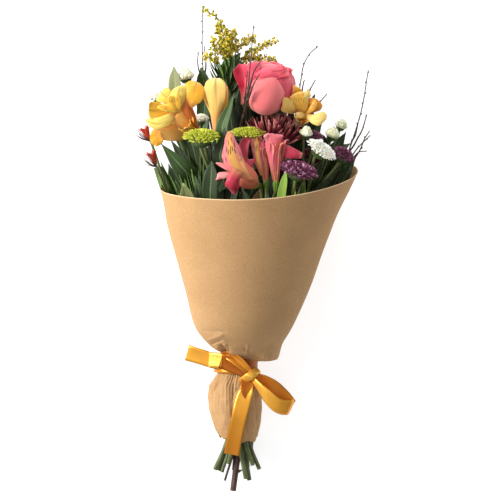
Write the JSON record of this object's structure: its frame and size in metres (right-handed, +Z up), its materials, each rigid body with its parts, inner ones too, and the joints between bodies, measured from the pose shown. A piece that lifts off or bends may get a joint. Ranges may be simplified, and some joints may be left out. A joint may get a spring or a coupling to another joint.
{
  "type": "mixed flower bouquet",
  "caption": "Hand-tied mixed bouquet lying on its back, in a conical kraft paper wrap that is gathered at the waist and tied with a satin ribbon in a half bow.",
  "frame": {"origin": "middle of the bounding box, on the surface the bouquet lies on", "axes": "+Y along the bouquet from the cut stems to the flowers, +X to its right seen from above, +Z up from the surface, which is the bouquet's front"},
  "size_m": [0.2305, 0.4901, 0.159],
  "materials": {
    "kraft": "matte",
    "satin": "satin",
    "raffia": "matte",
    "green_stem": "satin",
    "woody_stem": "matte",
    "leaf": "satin",
    "coral_petal": "matte",
    "yellow_petal": "matte",
    "golden_petal": "matte",
    "pink_petal": "matte",
    "wine_petal": "matte",
    "plum_petal": "matte",
    "lime_petal": "matte",
    "white_petal": "matte",
    "scarlet_petal": "matte",
    "goldenrod": "matte"
  },
  "bodies": {
    "root": {"golden_alstroemeria_bloom": "golden_petal", "golden_alstroemeria_stem": "green_stem", "goldenrod_plume": "goldenrod", "goldenrod_stem": "green_stem", "green_button_left_bloom": "lime_petal", "green_button_right_bloom": "lime_petal", "green_chrysanthemum_stem": "green_stem", "kraft_paper_wrap": "kraft", "leaf_back_left": "leaf", "leaf_back_middle_left": "leaf", "leaf_back_middle_right": "leaf", "leaf_back_right": "leaf", "leaf_centre_dark": "leaf", "leaf_centre_lance": "leaf", "leaf_centre_round": "leaf", "leaf_front_left_blade": "leaf", "leaf_front_right_blade": "leaf", "leaf_left_bright": "leaf", "leaf_left_broad": "leaf", "leaf_left_outer": "leaf", "leaf_left_pale": "leaf", "leaf_right_blue": "leaf", "leaf_right_low": "leaf", "leaf_top_dark": "leaf", "leaf_top_pale": "leaf", "leafy_back_left_stem": "green_stem", "leafy_back_right_stem": "green_stem", "leafy_back_stem": "green_stem", "leafy_right_stem": "green_stem", "pink_alstroemeria_middle_bloom": "pink_petal", "pink_alstroemeria_open_bloom": "pink_petal", "pink_alstroemeria_right_bloom": "pink_petal", "pink_alstroemeria_stem": "green_stem", "plum_button_back_bloom": "plum_petal", "plum_button_front_bloom": "plum_petal", "plum_button_right_bloom": "plum_petal", "plum_chrysanthemum_stem": "green_stem", "rose_bloom": "coral_petal", "rose_stem": "woody_stem", "satin_ribbon": "satin", "scarlet_high_bloom": "scarlet_petal", "scarlet_low_bloom": "scarlet_petal", "scarlet_stem": "green_stem", "stem_binding": "raffia", "twig_front": "woody_stem", "twig_left": "woody_stem", "twig_right": "woody_stem", "twig_top": "woody_stem", "white_button_left_bloom": "white_petal", "white_button_right_bloom": "white_petal", "white_button_top_bloom": "white_petal", "white_chrysanthemum_left_stem": "green_stem", "white_chrysanthemum_stem": "green_stem", "wine_chrysanthemum_bloom": "wine_petal", "wine_chrysanthemum_right_bloom": "wine_petal", "wine_chrysanthemum_stem": "green_stem", "yellow_alstroemeria_open_bloom": "yellow_petal", "yellow_alstroemeria_side_bloom": "yellow_petal", "yellow_alstroemeria_stem": "green_stem"}
  },
  "joints": []
}
